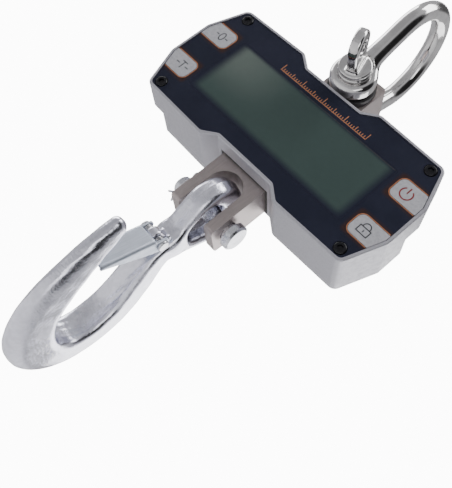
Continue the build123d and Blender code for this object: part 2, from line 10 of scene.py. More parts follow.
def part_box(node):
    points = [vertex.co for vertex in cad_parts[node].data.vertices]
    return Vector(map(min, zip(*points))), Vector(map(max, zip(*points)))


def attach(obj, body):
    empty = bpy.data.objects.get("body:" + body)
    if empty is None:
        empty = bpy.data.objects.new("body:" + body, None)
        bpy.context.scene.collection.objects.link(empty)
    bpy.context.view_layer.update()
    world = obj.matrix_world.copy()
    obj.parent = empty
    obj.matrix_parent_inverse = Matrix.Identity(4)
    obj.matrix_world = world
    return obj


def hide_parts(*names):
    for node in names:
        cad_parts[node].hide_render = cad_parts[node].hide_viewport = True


# Looks of the hanging crane scale. The frame is in metres; the sculpted shapes are worked out in
# millimetres. +Z is up along the load axis, -Y is the display side, and the origin is where a crane
# hook bears inside the shackle's crown.

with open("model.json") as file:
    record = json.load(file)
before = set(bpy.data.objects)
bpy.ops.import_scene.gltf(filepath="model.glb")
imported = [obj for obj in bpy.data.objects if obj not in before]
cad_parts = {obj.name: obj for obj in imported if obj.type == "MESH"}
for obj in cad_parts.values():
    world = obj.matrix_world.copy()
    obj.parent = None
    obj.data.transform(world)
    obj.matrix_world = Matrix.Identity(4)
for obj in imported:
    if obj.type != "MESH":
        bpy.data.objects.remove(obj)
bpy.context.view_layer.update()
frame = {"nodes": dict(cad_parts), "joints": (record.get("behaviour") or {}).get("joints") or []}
NODES = frame["nodes"]
MM = 0.001


def joint_point(name):
    """A joint's place in millimetres."""
    joint = next(j for j in frame["joints"] if j["name"] == name)
    return [1000 * v for v in joint["pos_m"]]


# ---- Driving measures, mm ------------------------------------------------------------------------
SHACKLE_PIN_Z = joint_point("shackle_swing")[2]
CLEVIS_PIN_Z = joint_point("hook_swing")[2]
LATCH_Y, LATCH_Z = joint_point("latch_open")[1:]
FACIA_LOW, FACIA_HIGH = (1000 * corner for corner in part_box("facia_panel"))
HOUSING_Z = (FACIA_LOW.z + FACIA_HIGH.z) / 2
FACIA_Y = FACIA_LOW.y
KEY_TOP_Y = 1000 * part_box("key_zero")[0].y
WINDOW_LOW, WINDOW_HIGH = (1000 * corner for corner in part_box("display_window"))
KEY_BOXES = {name: [1000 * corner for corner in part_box(f"key_{name}")]
             for name in ("zero", "tare", "power", "lock")}


# ==== Mesh helpers ================================================================================
def link(name, mesh):
    piece = bpy.data.objects.new(name, mesh)
    bpy.context.scene.collection.objects.link(piece)
    return piece


def evaluated(piece):
    """The piece's mesh with its modifiers applied."""
    bpy.context.view_layer.update()
    graph = bpy.context.evaluated_depsgraph_get()
    mesh = bpy.data.meshes.new_from_object(piece.evaluated_get(graph))
    piece.modifiers.clear()
    piece.data = mesh
    return mesh


def mesh_from(name, points_mm, faces):
    mesh = bpy.data.meshes.new(name)
    mesh.from_pydata([Vector(p) * MM for p in points_mm], [], faces)
    mesh.update()
    return link(name, mesh)


def smooth(piece, angle=32):
    """Smooth shading, with edges sharper than the angle left hard."""
    piece.data.shade_smooth()
    piece.data.set_sharp_from_angle(angle=math.radians(angle))


def finish_piece(piece, body, slot, material, *nodes):
    """Material and body of a new piece, and the CAD nodes that it stands for, which are hidden; the slot is
    not used.
    """
    piece.data.materials.clear()
    piece.data.materials.append(material)
    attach(piece, body)
    if nodes:
        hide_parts(*nodes)
    return piece


def eased(node, body, slot, material, width, angle=38):
    """A copy of a CAD node whose hard edges are eased by width mm."""
    mesh = NODES[node].data.copy()
    piece = link(f"{node}_eased", mesh)
    work = bmesh.new()
    work.from_mesh(mesh)
    bmesh.ops.remove_doubles(work, verts=work.verts, dist=0.00001)
    flat = math.radians(0.5)
    bmesh.ops.dissolve_limit(work, angle_limit=flat, verts=work.verts, edges=work.edges)
    work.to_mesh(mesh)
    work.free()
    ease = piece.modifiers.new("ease", "BEVEL")
    ease.width = width * MM
    ease.segments = 2
    ease.limit_method = "ANGLE"
    ease.angle_limit = math.radians(angle)
    ease.use_clamp_overlap = True
    evaluated(piece)
    smooth(piece)
    level = piece.modifiers.new("level", "WEIGHTED_NORMAL")
    level.keep_sharp = True
    evaluated(piece)
    return finish_piece(piece, body, slot, material, node)


# ==== Sculpting with distance fields ==============================================================
def soft_min(a, b, k):
    h = np.clip(0.5 + 0.5 * (b - a) / k, 0, 1)
    return b + (a - b) * h - k * h * (1 - h)


def soft_max(a, b, k):
    return -soft_min(-a, -b, k)


def length2(a, b):
    return np.sqrt(a * a + b * b)


def two_circles(p, q, r1, q2, r2):
    """Distance to two circles, at (0, 0) and (0, q2), and their common tangents."""
    lean = (r1 - r2) / q2
    run = math.sqrt(1 - lean * lean)
    p = np.abs(p)
    k = -p * lean + q * run
    side = p * run + q * lean - r1
    return np.where(k < 0, length2(p, q) - r1, np.where(k > run * q2, length2(p, q - q2) - r2, side))


def rounded_disc(radial, axial, radius, half, k):
    """Distance to a disc with rounded edges."""
    a, b = radial - radius + k, np.abs(axial) - half + k
    return length2(np.maximum(a, 0), np.maximum(b, 0)) + np.minimum(np.maximum(a, b), 0) - k


def project(points, field, rounds=5, reach=1.5):
    """Newton steps that bring points onto the surface field = 0."""
    step = 0.02
    for _ in range(rounds):
        value = field(points)
        slope = np.stack([(field(points + d) - field(points - d)) / (2 * step)
                          for d in np.eye(3) * step], axis=1)
        move = -(value / np.maximum((slope ** 2).sum(1), 0.2))[:, None] * slope
        size = np.linalg.norm(move, axis=1, keepdims=True)
        points = points + move * np.minimum(1, reach / np.maximum(size, 1e-9))
    return points


def sculpt(node, name, voxel, field, relax=4):
    """A copy of a CAD node, remeshed in even quads and drawn onto a smooth distance field."""
    piece = link(name, NODES[node].data.copy())
    remesh = piece.modifiers.new("remesh", "REMESH")
    remesh.mode = "VOXEL"
    remesh.voxel_size = voxel * MM
    mesh = evaluated(piece)
    points = np.zeros(len(mesh.vertices) * 3)
    mesh.vertices.foreach_get("co", points)
    points = project(points.reshape(-1, 3) * 1000, field)
    edges = np.zeros(len(mesh.edges) * 2, int)
    mesh.edges.foreach_get("vertices", edges)
    ends = edges.reshape(-1, 2)
    count = np.bincount(edges, minlength=len(points))[:, None]
    for _ in range(relax):
        total = np.zeros_like(points)
        np.add.at(total, ends[:, 0], points[ends[:, 1]])
        np.add.at(total, ends[:, 1], points[ends[:, 0]])
        points = project(points * 0.4 + 0.6 * total / count, field, rounds=2)
    mesh.vertices.foreach_set("co", (points * MM).ravel())
    mesh.update()
    mesh.shade_smooth()
    return piece


class Path:
    """A smooth line in a plane with sizes along it, and where any point lies beside it."""

    def __init__(self, stations, per_span=14):
        pts = np.array(stations, float)
        pts = np.vstack([2 * pts[0] - pts[1], pts, 2 * pts[-1] - pts[-2]])
        rows = []
        for i in range(1, len(pts) - 2):
            for t in np.linspace(0, 1, per_span, endpoint=False):
                a, b, c, d = pts[i - 1:i + 3]
                rows.append(0.5 * (2 * b + (c - a) * t + (2 * a - 5 * b + 4 * c - d) * t ** 2
                                   + (3 * b - a - 3 * c + d) * t ** 3))
        rows.append(pts[-2])
        self.rows = np.array(rows)
        slope = np.gradient(self.rows, axis=0)
        self.along = slope[:, :2] / np.linalg.norm(slope[:, :2], axis=1, keepdims=True)
        self.gap = np.linalg.norm(slope[:, :2], axis=1)
        self.growth = slope[:, 2:] / self.gap[:, None]

    def beside(self, u, v):
        """Distance to the left, distance past an end, and the sizes there."""
        best = np.empty(len(u), int)
        for start in range(0, len(u), 8000):
            part = slice(start, start + 8000)
            d = (u[part, None] - self.rows[:, 0]) ** 2 + (v[part, None] - self.rows[:, 1]) ** 2
            best[part] = d.argmin(1)
        du, dv = u - self.rows[best, 0], v - self.rows[best, 1]
        tu, tv = self.along[best].T
        t = du * tu + dv * tv
        left = dv * tu - du * tv
        last = len(self.rows) - 1
        over = np.where(best == 0, np.minimum(t, 0), np.where(best == last, np.maximum(t, 0), 0))
        inside = np.clip(t - over, -self.gap[best], self.gap[best])
        return left, over, (self.rows[best, 2:] + inside[:, None] * self.growth[best]).T


# ==== Materials ===================================================================================
class Shader:
    """A principled material and short ways to add procedural detail to it."""

    def __init__(self, name, color, rough, metal=0.0, **sockets):
        self.mat = bpy.data.materials.new(name)
        self.mat.use_nodes = True
        self.tree = self.mat.node_tree
        self.bsdf = self.tree.nodes["Principled BSDF"]
        self.set("Base Color", (*color, 1))
        self.set("Roughness", rough)
        self.set("Metallic", metal)
        for socket, value in sockets.items():
            self.set(socket.replace("_", " "), value)
        self.place = self.node("ShaderNodeTexCoord").outputs["Object"]
        self.normal = None

    def node(self, kind, **settings):
        made = self.tree.nodes.new(kind)
        for key, value in settings.items():
            setattr(made, key, value)
        return made

    def set(self, socket, value):
        self.bsdf.inputs[socket].default_value = value

    def link(self, a, b):
        self.tree.links.new(a, b)

    def feed(self, socket, value):
        """A number or another node's output into a socket."""
        if isinstance(value, (int, float, tuple)):
            socket.default_value = value
        else:
            self.link(value, socket)

    def math(self, operation, a, b=0.0):
        made = self.node("ShaderNodeMath", operation=operation)
        self.feed(made.inputs[0], a)
        self.feed(made.inputs[1], b)
        return made.outputs[0]

    def stretched(self, x, y, z):
        made = self.node("ShaderNodeMapping")
        made.inputs["Scale"].default_value = (x, y, z)
        self.link(self.place, made.inputs["Vector"])
        return made.outputs["Vector"]

    def noise(self, scale, detail=3.0, vector=None, rough=0.55):
        made = self.node("ShaderNodeTexNoise")
        made.inputs["Scale"].default_value = scale
        made.inputs["Detail"].default_value = detail
        made.inputs["Roughness"].default_value = rough
        self.link(vector or self.place, made.inputs["Vector"])
        return made.outputs["Fac"]

    def ranged(self, value, low, high, to_low=0.0, to_high=1.0):
        made = self.node("ShaderNodeMapRange")
        made.interpolation_type = "SMOOTHSTEP"
        self.feed(made.inputs["Value"], value)
        for socket, number in zip(("From Min", "From Max", "To Min", "To Max"), (low, high, to_low, to_high)):
            made.inputs[socket].default_value = number
        return made.outputs["Result"]

    def blend(self, factor, a, b):
        made = self.node("ShaderNodeMix", data_type="RGBA")
        self.feed(made.inputs["Factor"], factor)
        for socket, value in ((made.inputs[6], a), (made.inputs[7], b)):
            if isinstance(value, tuple):
                socket.default_value = (*value, 1)
            else:
                self.link(value, socket)
        return made.outputs[2]

    def paint(self, output):
        self.link(output, self.bsdf.inputs["Base Color"])
        return self

    def vary(self, value, low, high):
        """Roughness that follows a 0 to 1 value."""
        self.link(self.ranged(value, 0.3, 0.7, low, high), self.bsdf.inputs["Roughness"])
        return self

    def bump(self, height, depth_mm, strength=1.0):
        made = self.node("ShaderNodeBump")
        made.inputs["Distance"].default_value = depth_mm * MM
        made.inputs["Strength"].default_value = strength
        self.link(height, made.inputs["Height"])
        if self.normal:
            self.link(self.normal, made.inputs["Normal"])
        self.normal = made.outputs["Normal"]
        self.link(self.normal, self.bsdf.inputs["Normal"])
        return self


def forged_zinc():
    """Bright zinc over forging scale: fine ripples across the steel, in patches."""
    s = Shader("forged_zinc", (0.80, 0.80, 0.865), 0.26, 1.0)
    grit = s.noise(1500, 4)
    ripple = s.noise(620, 3, s.stretched(0.5, 1.0, 1.0))
    patch = s.noise(45, 2)
    tone = s.ranged(s.noise(220, 3), 0.3, 0.75)
    s.paint(s.blend(tone, (0.70, 0.70, 0.785), (0.84, 0.84, 0.93)))
    s.vary(patch, 0.15, 0.28)
    s.bump(ripple, 0.16)
    return s.bump(grit, 0.06).mat


def plated_zinc():
    s = Shader("plated_zinc", (0.70, 0.71, 0.75), 0.24, 1.0)
    s.paint(s.blend(s.ranged(s.noise(160, 3), 0.3, 0.7), (0.62, 0.63, 0.67), (0.76, 0.77, 0.82)))
    s.vary(s.noise(600, 3), 0.18, 0.32)
    return s.bump(s.noise(900, 3), 0.012).mat


def zinc_sheet():
    """Rolled and zinc plated sheet, dull, with faint rolling lines along the latch."""
    s = Shader("zinc_sheet_metal", (0.52, 0.56, 0.64), 0.42, 0.85)
    lines = s.noise(60, 3, s.stretched(30, 1, 1))
    s.paint(s.blend(s.ranged(lines, 0.3, 0.7), (0.46, 0.50, 0.58), (0.57, 0.61, 0.69)))
    s.vary(s.noise(400, 3), 0.36, 0.5)
    return s.bump(lines, 0.01).mat


def polished_stainless():
    s = Shader("polished_stainless", (0.66, 0.65, 0.645), 0.1, 1.0)
    s.paint(s.blend(s.ranged(s.noise(80, 4), 0.35, 0.7), (0.57, 0.56, 0.555), (0.70, 0.69, 0.685)))
    s.vary(s.noise(350, 4), 0.07, 0.16)
    s.bump(s.noise(55, 2), 0.12)
    return s.bump(s.noise(2200, 2), 0.003).mat


def brushed_stainless():
    """Warm grey steel, ground along the load axis."""
    s = Shader("brushed_stainless", (0.42, 0.37, 0.36), 0.4, 0.8)
    lines = s.noise(130, 5, s.stretched(14, 14, 1))
    s.paint(s.blend(s.ranged(lines, 0.25, 0.75), (0.38, 0.335, 0.325), (0.46, 0.405, 0.395)))
    s.vary(lines, 0.34, 0.46)
    return s.bump(lines, 0.02).mat


def silver_paint():
    """Satin silver powder coat on the casting."""
    s = Shader("silver_paint", (0.44, 0.435, 0.48), 0.38, 0.45)
    flake = s.noise(2600, 2)
    s.paint(s.blend(s.ranged(flake, 0.35, 0.7), (0.39, 0.385, 0.425), (0.49, 0.485, 0.53)))
    s.vary(s.noise(300, 3), 0.32, 0.44)
    s.bump(s.noise(1400, 3), 0.02)
    return s.bump(s.noise(70, 2), 0.05).mat


def key_distance(s):
    """Distance in metres from the nearest key's edge, over the facia."""
    split = s.node("ShaderNodeSeparateXYZ")
    s.link(s.place, split.inputs[0])
    x, z = split.outputs["X"], split.outputs["Z"]
    inner = KEY_BOXES["power"][0].x * MM
    dx = s.math("MAXIMUM", s.math("SUBTRACT", inner, s.math("ABSOLUTE", x)), 0.0)
    nearest = None
    for name in ("power", "lock"):
        low, high = KEY_BOXES[name]
        middle, half = (low.z + high.z) / 2 * MM, (high.z - low.z) / 2 * MM
        away = s.math("ABSOLUTE", s.math("SUBTRACT", z, middle))
        dz = s.math("MAXIMUM", s.math("SUBTRACT", away, half), 0.0)
        d = s.math("SQRT", s.math("ADD", s.math("MULTIPLY", dx, dx), s.math("MULTIPLY", dz, dz)))
        nearest = d if nearest is None else s.math("MINIMUM", nearest, d)
    return nearest


NAVY = (0.0155, 0.0175, 0.0335)


def facia_film():
    """Dark navy film, with the keys' coloured surround printed soft at its edge."""
    s = Shader("facia_film", NAVY, 0.34, 0.0, Specular_IOR_Level=0.13)
    halo = s.ranged(key_distance(s), 0.0004, 0.0042, 1.0, 0.0)
    base = s.blend(s.ranged(s.noise(30, 2), 0.3, 0.7), (0.0135, 0.0155, 0.030), (0.0185, 0.0205, 0.038))
    s.paint(s.blend(halo, base, (0.040, 0.020, 0.018)))
    s.vary(s.noise(500, 2), 0.3, 0.4)
    return s.bump(s.noise(1800, 2), 0.002).mat


def display_film():
    """The display behind the film: grey-green, paler at one end, fading into the navy at its edges."""
    s = Shader("display_film", NAVY, 0.32, 0.0, Specular_IOR_Level=0.13)
    split = s.node("ShaderNodeSeparateXYZ")
    s.link(s.place, split.inputs[0])
    x, z = split.outputs["X"], split.outputs["Z"]
    left = s.ranged(x, WINDOW_LOW.x * MM, (WINDOW_LOW.x + 9) * MM)
    right = s.ranged(x, WINDOW_HIGH.x * MM, (WINDOW_HIGH.x - 8) * MM)
    low = s.ranged(z, WINDOW_LOW.z * MM, (WINDOW_LOW.z + 7) * MM)
    high = s.ranged(z, WINDOW_HIGH.z * MM, (WINDOW_HIGH.z - 4) * MM)
    inside = s.math("MULTIPLY", s.math("MULTIPLY", left, right), s.math("MULTIPLY", low, high))
    pale_x = s.ranged(x, -12 * MM, -66 * MM)
    pale_z = s.ranged(z, (HOUSING_Z - 22) * MM, (HOUSING_Z + 14) * MM)
    pale = s.math("MULTIPLY", pale_x, pale_z)
    screen = s.blend(pale, (0.047, 0.073, 0.068), (0.128, 0.155, 0.140))
    cloud = s.ranged(s.noise(25, 2), 0.3, 0.7)
    screen = s.blend(s.math("MULTIPLY", cloud, 0.25), screen, (0.058, 0.085, 0.079))
    s.paint(s.blend(inside, NAVY, screen))
    s.vary(s.noise(500, 2), 0.28, 0.38)
    return s.bump(s.noise(1800, 2), 0.002).mat


def speckled(name, dark, light, rough, metal=0.0, grain=900, depth=0.01, **sockets):
    """A moulded or painted surface with fine grain."""
    s = Shader(name, light, rough, metal, **sockets)
    grain_value = s.noise(grain, 3)
    s.paint(s.blend(s.ranged(grain_value, 0.3, 0.7), dark, light))
    s.vary(s.noise(grain * 0.4, 2), rough * 0.85, rough * 1.15)
    return s.bump(grain_value, depth).mat


def circuit_board():
    """Green lacquer over faint copper tracks."""
    s = Shader("circuit_board", (0.01, 0.10, 0.03), 0.3)
    tracks = s.node("ShaderNodeTexBrick")
    tracks.inputs["Scale"].default_value = 160
    tracks.inputs["Mortar Size"].default_value = 0.03
    swap = s.node("ShaderNodeMapping")
    swap.inputs["Rotation"].default_value = (math.pi / 2, 0, 0)
    s.link(s.place, swap.inputs["Vector"])
    s.link(swap.outputs["Vector"], tracks.inputs["Vector"])
    s.paint(s.blend(tracks.outputs["Fac"], (0.008, 0.09, 0.03), (0.02, 0.17, 0.05)))
    s.vary(s.noise(300, 2), 0.25, 0.38)
    return s.bump(tracks.outputs["Fac"], 0.02).mat


ZINC = forged_zinc()
PLATED = plated_zinc()
SHEET_ZINC = zinc_sheet()
POLISHED = polished_stainless()
BRUSHED = brushed_stainless()
SILVER = silver_paint()
FACIA = facia_film()
DISPLAY = display_film()
BOARD = circuit_board()
KEY_GREY = speckled("key_film", (0.40, 0.40, 0.43), (0.49, 0.49, 0.52), 0.36, 0, 700, 0.004)
INK_DARK = speckled("ink_dark", (0.012, 0.012, 0.016), (0.03, 0.03, 0.035), 0.45)
INK_RED = speckled("ink_red", (0.16, 0.008, 0.008), (0.24, 0.015, 0.012), 0.45)
INK_COPPER = speckled("ink_copper", (0.40, 0.155, 0.07), (0.52, 0.21, 0.10), 0.42)
BLACK_STEEL = speckled("black_steel", (0.010, 0.010, 0.012), (0.022, 0.022, 0.026), 0.2, 0.6, 1200)
RUBBER = speckled("black_rubber", (0.012, 0.012, 0.012), (0.024, 0.024, 0.025), 0.6, 0, 800, 0.03)
NYLON = speckled("black_nylon", (0.014, 0.014, 0.015), (0.028, 0.028, 0.030), 0.42, 0, 900, 0.02)
CHIP = speckled("chip_black", (0.012, 0.012, 0.013), (0.03, 0.03, 0.032), 0.5)
GLASS = speckled("lcd_cell", (0.10, 0.14, 0.12), (0.13, 0.17, 0.15), 0.12, 0, 300, 0.002)
WHITE = speckled("white_moulding", (0.68, 0.68, 0.66), (0.76, 0.76, 0.74), 0.4)
WRAP = speckled("battery_sleeve", (0.02, 0.07, 0.22), (0.03, 0.10, 0.30), 0.35)
SPRING = speckled("spring_wire", (0.42, 0.42, 0.44), (0.60, 0.60, 0.62), 0.24, 1.0, 1500)
FOIL = speckled("gauge_foil_film", (0.42, 0.22, 0.07), (0.55, 0.30, 0.10), 0.35, 0.4)
WIRE = speckled("wire_sleeve", (0.22, 0.22, 0.23), (0.30, 0.30, 0.31), 0.5)


def dress(material, *nodes):
    """A CAD node that stays gets a better material."""
    for node in nodes:
        NODES[node].data.materials.clear()
        NODES[node].data.materials.append(material)


# ==== Hook ========================================================================================
# Stations of the body, from the neck round the bowl to the tip: the middle of the section, down the
# load axis from the clevis pin and towards the display side; half its depth; and half its width on
# the bowl's side and on the outside
HOOK_PATH = Path([
    (33, 2.5, 9.6, 8.8, 8.6),
    (50, -1, 10.8, 9.6, 8.8),
    (66, -12, 13.2, 11.0, 8.6),
    (88, -25, 14.6, 12.3, 8.2),
    (112, -28, 15.2, 12.8, 8.0),
    (132.5, -20, 15.2, 13.0, 8.2),
    (144, -3, 15.4, 13.0, 8.2),
    (143.5, 16, 15.4, 12.6, 7.6),
    (133, 33.5, 13.6, 11.8, 6.8),
    (116, 45, 11.8, 10.8, 6.2),
    (98, 52, 9.9, 9.6, 5.9),
    (84.5, 56.4, 8.3, 8.4, 5.6),
    (72, 59.2, 7.2, 7.0, 5.3),
    (63, 61, 5.8, 5.8, 4.9),
])
# The eye and its hole are each two circles, the lower one smaller, and their common tangents
EYE_HALF = 8.8
EYE_R, EYE_FOOT, EYE_FOOT_R = 26.2, 25.0, 14.5
HOLE_TOP, HOLE_R, HOLE_FOOT, HOLE_FOOT_R = 6.2, 13.5, 7.3, 10.0
NECK = (40.0, 4.0)
BOSS_R, SHOULDER_HALF = 6.0, 3.6
RIVET_HOLE_R = 2.6
PIVOT = (CLEVIS_PIN_Z - LATCH_Z, -LATCH_Y)


def forged_section(x, n, depth, inside, outside):
    """Distance to a hook's section: broad and a little crowned in the bowl, narrower and rounder outside."""
    flare = (inside - outside) / (2 * depth)
    flank = (np.abs(x) - (inside + outside) / 2 - flare * n) / np.sqrt(1 + flare ** 2)
    bowl = n - depth + 1.2 * (x / inside) ** 2
    ridge = np.minimum(inside, depth) * 0.42
    back = -n - depth + 0.3 + 3.0 * (x / outside) ** 2
    return soft_max(soft_max(bowl, flank, ridge), back, ridge)


def hook_field(points):
    x, y, z = points.T
    a, b = CLEVIS_PIN_Z - z, -y
    left, over, (depth, inside, outside) = HOOK_PATH.beside(a, b)
    core = np.minimum(depth, inside) * 0.9
    body = length2(np.maximum(forged_section(x, left, depth, inside, outside) + core, 0), over) - core
    body += 0.10 * np.sin(a * 0.31 + 1.3 * x) * np.sin(b * 0.27 + 0.5)
    outer = two_circles(b, a, EYE_R, EYE_FOOT, EYE_FOOT_R)
    hole = two_circles(b, a - HOLE_TOP, HOLE_R, HOLE_FOOT, HOLE_FOOT_R)
    draft = 0.20 * np.abs(x)
    eye = soft_max(outer + draft, np.abs(x) - EYE_HALF, 4.6)
    eye = soft_max(eye, -hole + draft * 0.8, 5.0)
    flash = 0.22 * np.exp(-(x / 0.55) ** 2)
    boss = length2(a - PIVOT[0], b - PIVOT[1]) - BOSS_R
    web = two_circles(*turned(a, b, NECK, PIVOT), 7.5, math.dist(NECK, PIVOT), BOSS_R)
    shoulder = soft_max(np.minimum(boss, web), np.abs(x) - SHOULDER_HALF, 1.6)
    rivet_hole = RIVET_HOLE_R - length2(a - PIVOT[0], b - PIVOT[1])
    whole = soft_min(eye - flash, body, 7.0)
    whole = np.maximum(whole, -hole + draft * 0.8 - 2.0)
    return np.maximum(soft_min(whole, shoulder, 3.0), rivet_hole)


def turned(a, b, start, end):
    """Places measured across and along the line from start to end."""
    length = math.dist(start, end)
    da, db = (end[0] - start[0]) / length, (end[1] - start[1]) / length
    u, v = a - start[0], b - start[1]
    return u * db - v * da, u * da + v * db


# ==== Shackle =====================================================================================
BOW_R, BOW_WIRE = 40.0, 7.0
EAR_Y, EAR_HALF, EAR_R = 25.7, 6.7, 17.0
COLLAR_R, COLLAR_T = 11.8, 6.5
PIN_R, PIN_EYE_R, PIN_EYE_HOLE = 8.0, 11.45, 5.0
PIN_EYE_TURN = math.radians(110)
EAR_FRONT = -EAR_Y - EAR_HALF
COLLAR_FRONT = EAR_FRONT - COLLAR_T
EYE_FROM_COLLAR = 19.0


def bow_path():
    """The bow's centre line in Y and Z: ear, leg, crown, leg, ear."""
    centre = BOW_WIRE - BOW_R
    drop = SHACKLE_PIN_Z - centre
    tangent = math.atan2(drop, EAR_Y) + math.acos(BOW_R / math.hypot(EAR_Y, drop))
    arc = [(BOW_R * math.cos(t), centre + BOW_R * math.sin(t))
           for t in np.linspace(tangent, math.pi - tangent, 25)]
    leg = [(EAR_Y + (arc[0][0] - EAR_Y) * t, SHACKLE_PIN_Z - 4 + (arc[0][1] - SHACKLE_PIN_Z + 4) * t)
           for t in np.linspace(0, 1, 6, endpoint=False)]
    side = leg + arc
    wire = [(y, z, BOW_WIRE) for y, z in side]
    return Path(wire + [(-y, z, BOW_WIRE) for y, z in reversed(leg)], per_span=8)


BOW = bow_path()


def bow_field(points):
    x, y, z = points.T
    left, over, (r,) = BOW.beside(y, z)
    swell = 1.0 * np.exp(-((z - SHACKLE_PIN_Z - 17) / 9) ** 2)
    wire = np.sqrt(x * x + left * left + over * over) - r - swell * 0.6
    radial = length2(x, z - SHACKLE_PIN_Z)
    ear = rounded_disc(radial, np.abs(y) - EAR_Y, EAR_R, EAR_HALF, 4.6)
    whole = soft_min(wire, ear, 6.0)
    whole = soft_max(whole, gap_cut(y, z), 1.2)
    faced = soft_max(radial - COLLAR_R - 0.8, EAR_Y + EAR_HALF - np.abs(y), 0.6)
    whole = soft_max(whole, -faced, 0.5)
    return np.maximum(whole, PIN_R + 0.06 - radial)


def gap_cut(y, z):
    """Positive between the ears, where the spacers and the load cell's lug go."""
    return soft_min(EAR_Y - EAR_HALF - np.abs(y), SHACKLE_PIN_Z + EAR_R + 4 - z, 4.0)


def pin_field(points):
    x, y, z = points.T
    radial = length2(x, z - SHACKLE_PIN_Z)
    collar = rounded_disc(radial, y - (COLLAR_FRONT + EAR_FRONT) / 2, COLLAR_R, COLLAR_T / 2 - 0.03, 1.1)
    groove = length2(radial - COLLAR_R - 0.1, y - COLLAR_FRONT - 3.6) - 0.9
    collar = soft_max(collar, -groove, 0.4)
    shank = np.maximum(radial - PIN_R, np.abs(y) - EAR_Y - EAR_HALF - 1.0)
    across = x * math.cos(PIN_EYE_TURN) + (z - SHACKLE_PIN_Z) * math.sin(PIN_EYE_TURN)
    thick = x * math.sin(PIN_EYE_TURN) - (z - SHACKLE_PIN_Z) * math.cos(PIN_EYE_TURN)
    along = y - COLLAR_FRONT + EYE_FROM_COLLAR
    flat = two_circles(across, along, PIN_EYE_R, EYE_FROM_COLLAR + 2.0, 8.0)
    blade = soft_max(flat, np.abs(thick) - 3.8, 2.6)
    blade = soft_max(blade, PIN_EYE_HOLE - length2(across, along), 2.0)
    blade = np.maximum(blade, y - EAR_FRONT)
    whole = soft_min(blade, collar, 3.5)
    whole = soft_max(whole, y - EAR_FRONT + 0.05, 0.1)
    return np.minimum(whole, shank)


# ==== Latch =======================================================================================
LATCH_TURN = math.radians(24.5)      # how far the closed latch leans from the load axis
LATCH_HALF, LATCH_TOP, LATCH_LONG = 8.8, 6.6, 48.0
LATCH_SHEET, LATCH_BEND = 1.5, 2.4
EAR_ROUND = 5.7


def latch_matrix():
    """From the latch's own frame, X across, Y along and Z outwards, to the row frame, in metres."""
    along = Vector((0, -math.sin(LATCH_TURN), -math.cos(LATCH_TURN)))
    outwards = Vector((0, -math.cos(LATCH_TURN), math.sin(LATCH_TURN)))
    turn = Matrix((along.cross(outwards), along, outwards)).transposed()
    return Matrix.Translation(Vector((0, LATCH_Y, LATCH_Z)) * MM) @ turn.to_4x4()


def cheek_low(y):
    """Lower edge of the latch's side flange, which tapers to its end."""
    if y < 2:
        return -math.sqrt(max(EAR_ROUND ** 2 - min(y, 0) ** 2, 0.3))
    return float(np.interp(y, (2, 6, 14, 40, LATCH_LONG), (-5.7, -5.1, -3.6, 2.0, 3.5)))


def cheek_high(y):
    bend = LATCH_TOP - LATCH_BEND
    return min(bend, math.sqrt(max(EAR_ROUND ** 2 - min(y, 0) ** 2, 0.3)))


def latch():
    stations = [-5.55, -5.2, -4.6, -3.6, -2.2, -0.6, 1, 2.6, 4.4, 6.2] + list(np.linspace(8, LATCH_LONG, 24))
    flange, corner, plate = 5, 5, 8
    points, faces = [], []
    for y in stations:
        low, high = cheek_low(y), cheek_high(y)
        half = [(LATCH_HALF, low + (high - low) * i / flange) for i in range(flange + 1)]
        for i in range(1, corner + 1):
            t = math.pi / 2 * i / corner
            half.append((LATCH_HALF - LATCH_BEND * (1 - math.cos(t)),
                         LATCH_TOP - LATCH_BEND * (1 - math.sin(t))))
        flat = LATCH_HALF - LATCH_BEND
        half += [(flat * (1 - i / plate), LATCH_TOP) for i in range(1, plate + 1)]
        section = half + [(-x, z) for x, z in reversed(half[:-1])]
        points += [(x, y, z) for x, z in section]
    wide = 2 * (flange + corner + plate) + 1
    for j in range(len(stations) - 1):
        for i in range(wide - 1):
            on_cheek = i < flange or i >= wide - 1 - flange
            if on_cheek or stations[j] > 6:
                k = j * wide + i
                faces.append((k, k + 1, k + wide + 1, k + wide))
    used = sorted({k for face in faces for k in face})
    place = {k: n for n, k in enumerate(used)}
    piece = mesh_from("latch_sheet", [points[k] for k in used], [tuple(place[k] for k in f) for f in faces])
    sheet = piece.modifiers.new("sheet", "SOLIDIFY")
    sheet.thickness = LATCH_SHEET * MM
    sheet.offset = -1
    work = bmesh.new()
    work.from_mesh(piece.data)
    on_plate = Vector((0, 20, LATCH_TOP)) * MM
    middle = min(work.faces, key=lambda f: (f.calc_center_median() - on_plate).length)
    if middle.normal.z < 0:
        bmesh.ops.reverse_faces(work, faces=work.faces)
    work.to_mesh(piece.data)
    work.free()
    ease = piece.modifiers.new("ease", "BEVEL")
    ease.width = 0.25 * MM
    ease.segments = 2
    ease.angle_limit = math.radians(50)
    bore = drill(RIVET_HOLE_R, 12)
    cut = piece.modifiers.new("rivet_hole", "BOOLEAN")
    cut.object = bore
    cut.operation = "DIFFERENCE"
    evaluated(piece)
    bpy.data.objects.remove(bore)
    piece.data.transform(latch_matrix())
    smooth(piece)
    return finish_piece(piece, "latch", "zinc_sheet", SHEET_ZINC, "latch")


def drill(radius, half):
    """A scratch cylinder along X, to cut a hole with."""
    mesh = bpy.data.meshes.new("drill")
    work = bmesh.new()
    bmesh.ops.create_cone(work, cap_ends=True, segments=32, radius1=radius * MM, radius2=radius * MM,
                          depth=2 * half * MM, matrix=Matrix.Rotation(math.pi / 2, 4, "Y"))
    work.to_mesh(mesh)
    work.free()
    return link("drill", mesh)


